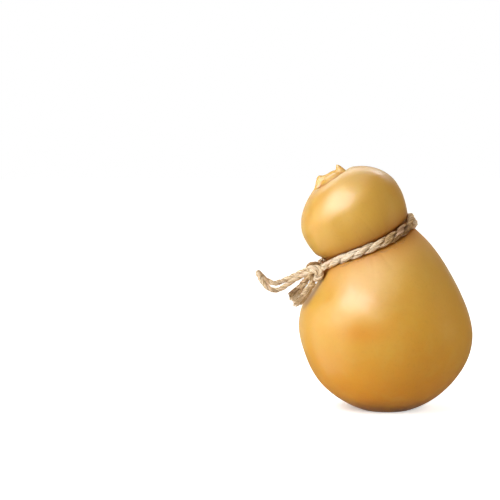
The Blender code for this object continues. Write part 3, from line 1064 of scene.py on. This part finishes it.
def scatterHairs(name, lines, count, *nodes, strays=()):
    # Hairs at random places on lines, each with its radius.
    draw = random.Random(hairs["seed"])
    work = startTwine()
    for _ in range(count):
        middle, radius = draw.choice(lines)
        step = draw.randrange(2, len(middle) - 2)
        along = Vector(middle[step + 1] - middle[step - 1]).normalized()
        turn = draw.uniform(0, fullTurn)
        side = along.orthogonal().normalized()
        outward = math.cos(turn) * side + math.sin(turn) * along.cross(side)
        root = Vector(middle[step]) + outward * radius * hairs["root"]
        line = hairLine(draw, root, outward, along)
        addFibre(work, line, draw.uniform(*hairs["thickness"]), draw.random(), hairs["tone"])
    for stray in strays:
        addFibre(work, strayLine(*stray), hairs["strayThickness"], draw.random(), hairs["tone"])
    closeTubes(work, work.verts, tuft["weld"])
    return addPiece(name, work, "jute", *nodes)


neckTurns = np.linspace(hairs["knotGap"], fullTurn - hairs["knotGap"], hairs["neckSteps"])
neckLine = leanOver(ropeLine(neck["knotTurn"] + neckTurns))
scatterHairs("neckHairs", [(neckLine, hairs["neckRadius"])], hairs["neck"], "twine_tie",
             strays=hairs["strays"])
loopHairs = scatterHairs("loopHairs", [(loopLine, twine["radius"])], hairs["loop"], "twine_loop")
print("hairs made")


# Floor, world and lights: a white table in a white studio, lit from the left, dimmer at the right.

white = (1.0, 1.0, 1.0)

studio = {
    "floorSize": 6,
    "floorDrop": 0.1 * mm,
    "floorShader": {
        "Base Color": (0.82, 0.82, 0.82, 1),
        "Roughness": 0.75,
        "Specular IOR Level": 0.2,
        "Emission Color": (1.0, 1.0, 0.98, 1),
    },
    "floorGlow": 0.80,             # the table gives off light of its own to the camera,
    "shadeMiddle": (-3.9 * mm, 12.7 * mm),         # but none in an oval under the cheese
    "shadeSize": (6.3 * mm, 8.4 * mm),
    "shadeEdge": (1.0, 4.2),       # and all of it from here on, in sizes of the oval
    "skyBright": 0.62,
    "skyDim": 0.40,
    "skyTint": (1.0, 0.88, 0.75),
    "skyGloss": 0.45,              # share of the sky that shows as a reflection
    "brightSide": Vector((-1.0, 0.25, 0.1)).normalized(),
    "brightFade": (0.1, 0.95),     # how far the sky faces that side, where it is dim and where bright
    "lights": {                    # bearing and height in degrees, size, radiance, tint, what it lights
        "key": (-52, 16, (0.50, 0.50), 8.8, (0.98, 1.01, 1.05), "matt"),
        "topFill": (6, 62, (0.80, 0.60), 1.25, white, "matt"),
        "rightFill": (86, 0, (0.60, 0.60), 1.95, (1.0, 0.83, 0.66), "matt"),
        "leftFill": (-120, 6, (0.50, 0.50), 1.5, (0.94, 1.0, 0.90), "matt"),
        "keyGleam": (-45, 41, (1.00, 0.78), 7.9, (0.92, 0.95, 1.13), "gloss"),
        "keyHalo": (-40, 38, (1.90, 1.50), 1.6, (0.86, 1.0, 0.86), "gloss"),
        "sidePanel": (-80, -12, (1.25, 1.30), 1.7, white, "gloss"),
        "topPanel": (-90, 80, (1.00, 1.00), 1.3, white, "gloss"),
        "backPanel": (-167, 43, (1.10, 0.36), 3.6, white, "gloss"),
        "backEdge": (150, 38, (0.42, 0.34), 1.2, white, "gloss"),
        "rimPanel": (176, 12, (0.80, 0.60), 0.5, (0.9, 1.0, 1.0), "gloss"),
        "backdrop": (-148, 10, (0.60, 0.90), 0.5, white, "gloss"),
        "rightPanel": (90, 12, (0.28, 0.75), 0.4, white, "gloss"),
    },
    "lightDistance": 1.0,
}


def makeFloor():
    work = bmesh.new()
    bmesh.ops.create_grid(work, x_segments=8, y_segments=8, size=studio["floorSize"] / 2)
    bmesh.ops.translate(work, vec=(0, 0, -studio["floorDrop"]), verts=work.verts)
    mesh = bpy.data.meshes.new("floor")
    work.to_mesh(mesh)
    work.free()
    look, tree, shader = newMaterial("tableWhite", studio["floorShader"])
    seen = tree.nodes.new("ShaderNodeLightPath").outputs["Is Camera Ray"]
    oval = addNode(tree, "ShaderNodeMapping", {
        "Vector": tree.nodes.new("ShaderNodeTexCoord").outputs["Object"],
        "Location": (*studio["shadeMiddle"], 0), "Scale": (*studio["shadeSize"], 1)},
        vector_type="TEXTURE")
    away = addNode(tree, "ShaderNodeVectorMath", {0: oval.outputs[0]}, operation="LENGTH")
    glow = addFade(tree, away.outputs["Value"], *studio["shadeEdge"], 0, studio["floorGlow"])
    setInputs(shader, {"Emission Strength": addMath(tree, "MULTIPLY", seen, glow)})
    mesh.materials.append(look)
    floor = bpy.data.objects.new("floor", mesh)
    scene.collection.objects.link(floor)
    floor.visible_glossy = False


def makeWorld():
    world = bpy.data.worlds.new("studio")
    world.use_nodes = True
    scene.world = world
    tree = world.node_tree
    direction = tree.nodes.new("ShaderNodeTexCoord").outputs["Generated"]
    facing = addNode(tree, "ShaderNodeVectorMath", {0: direction, 1: studio["brightSide"]},
                     operation="DOT_PRODUCT")
    bright = addFade(tree, facing.outputs["Value"], *studio["brightFade"],
                     studio["skyDim"], studio["skyBright"])
    rays = tree.nodes.new("ShaderNodeLightPath").outputs
    dimmed = addMath(tree, "MULTIPLY", rays["Is Glossy Ray"], 1 - studio["skyGloss"])
    strength = addMath(tree, "MULTIPLY", bright, addMath(tree, "SUBTRACT", 1.0, dimmed))
    strength = addMath(tree, "MAXIMUM", rays["Is Camera Ray"], strength)
    colour = addMix(tree, rays["Is Camera Ray"], studio["skyTint"], white)
    setInputs(tree.nodes["Background"], {"Strength": strength, "Color": colour})


def addLight(name, bearing, height, size, radiance, tint, use):
    data = bpy.data.lights.new(name, "AREA")
    data.shape = "RECTANGLE"
    data.size, data.size_y = size
    data.energy = radiance * math.pi * size[0] * size[1]
    data.color = tint
    light = bpy.data.objects.new(name, data)
    turn = math.radians(bearing)
    lift = math.radians(height)
    level = math.cos(lift)
    toLight = Vector((math.sin(turn) * level, -math.cos(turn) * level, math.sin(lift)))
    light.location = camera["pivot"] + studio["lightDistance"] * toLight
    light.rotation_mode = "QUATERNION"
    light.rotation_quaternion = toLight.to_track_quat("Z", "Y")
    light.visible_camera = False
    light.visible_diffuse = use == "matt"
    light.visible_glossy = use == "gloss"
    scene.collection.objects.link(light)


makeFloor()
makeWorld()
for lightName, settings in studio["lights"].items():
    addLight(lightName, *settings)
print("studio made")
